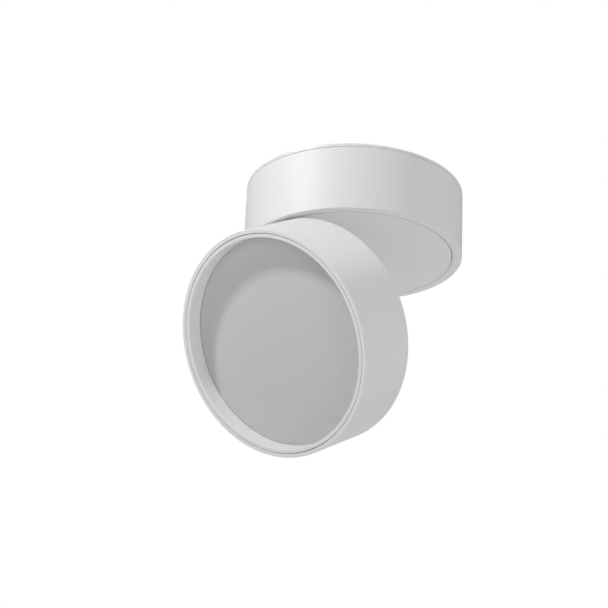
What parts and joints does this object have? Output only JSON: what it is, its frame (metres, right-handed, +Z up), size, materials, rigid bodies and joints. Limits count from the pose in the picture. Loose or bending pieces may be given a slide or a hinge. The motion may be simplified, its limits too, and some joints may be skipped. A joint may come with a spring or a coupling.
{
  "type": "surface mounted ceiling spotlight",
  "caption": "White ceiling spotlight of two equal drums: a canopy with a turning disc in its underside, and a lamp head with an opal face hinged to fold flat below it.",
  "frame": {"origin": "on the ceiling, at the middle of the canopy's mounting plate, on the swivel axis", "axes": "+Z up into the ceiling along the swivel axis; the lamp head opens towards -Y at rest; +X along the hinge axis"},
  "size_m": [0.1, 0.1248, 0.1349],
  "materials": {
    "white_coat": "satin white powder coat on die cast aluminium",
    "coated_steel": "satin white powder coat on pressed steel",
    "opal_acrylic": "satin opal acrylic",
    "white_plastic": "moulded white polycarbonate",
    "white_rubber": "white silicone rubber",
    "grey_rubber": "grey thermal pad",
    "nylon": "natural nylon",
    "zinc_steel": "bright zinc plated steel",
    "spring_steel": "bare spring steel",
    "brass": "plain brass",
    "cast_aluminium": "die cast and tumbled aluminium",
    "circuit_board": "green solder mask",
    "led_board": "aluminium board with white solder mask",
    "led_phosphor": "yellow phosphor in clear silicone",
    "ferrite": "dark ferrite and tape",
    "black_sleeve": "shrink sleeve"
  },
  "bodies": {
    "canopy": {"ceiling_plate": "coated_steel", "cable_grommet": "white_rubber", "canopy_shell": "white_coat", "side_screws": "zinc_steel", "canopy_stop_pin": "zinc_steel", "driver_case": "white_plastic", "driver_board": "circuit_board", "driver_transformer": "ferrite", "driver_capacitors": "black_sleeve", "driver_choke": "ferrite", "driver_lid": "white_plastic", "driver_screws": "zinc_steel", "terminal_block": "white_plastic", "terminal_screws": "brass", "block_screws": "zinc_steel", "earth_screw": "brass", "earth_washer": "zinc_steel"},
    "swivel": {"swivel_disc": "white_coat", "swivel_axle": "zinc_steel", "axle_screws": "zinc_steel", "lower_slip_washer": "nylon", "upper_slip_washer": "nylon", "disc_spring": "spring_steel", "swivel_nut": "zinc_steel", "swivel_stop_pin": "zinc_steel", "disc_bush": "white_rubber", "hinge_bracket": "coated_steel", "bracket_screws": "zinc_steel", "hinge_pin": "spring_steel", "spring_washer": "spring_steel", "hinge_clip": "spring_steel", "friction_washers": "nylon"},
    "head": {"hinge_leaf": "coated_steel", "leaf_screws": "zinc_steel", "rear_cover": "white_coat", "rear_cover_screws": "zinc_steel", "head_bush": "white_rubber", "head_shell": "white_coat", "heat_sink": "cast_aluminium", "sink_screws": "zinc_steel", "thermal_pad": "grey_rubber", "led_board": "led_board", "board_screws": "zinc_steel", "leds": "led_phosphor", "led_connector": "white_plastic", "light_ring": "white_plastic", "diffuser": "opal_acrylic", "diffuser_gasket": "white_rubber", "trim_ring": "white_coat"}
  },
  "joints": [
    {"name": "swivel_turn", "type": "hinge", "parent": "canopy", "child": "swivel", "pos_m": [0, 0, -0.0302], "axis": [0, 0, 1], "range_deg": [-175, 175]},
    {"name": "head_tilt", "type": "hinge", "parent": "swivel", "child": "head", "pos_m": [0, -0.0459, -0.0364], "axis": [-1, 0, 0], "range_deg": [-60, 30]}
  ]
}
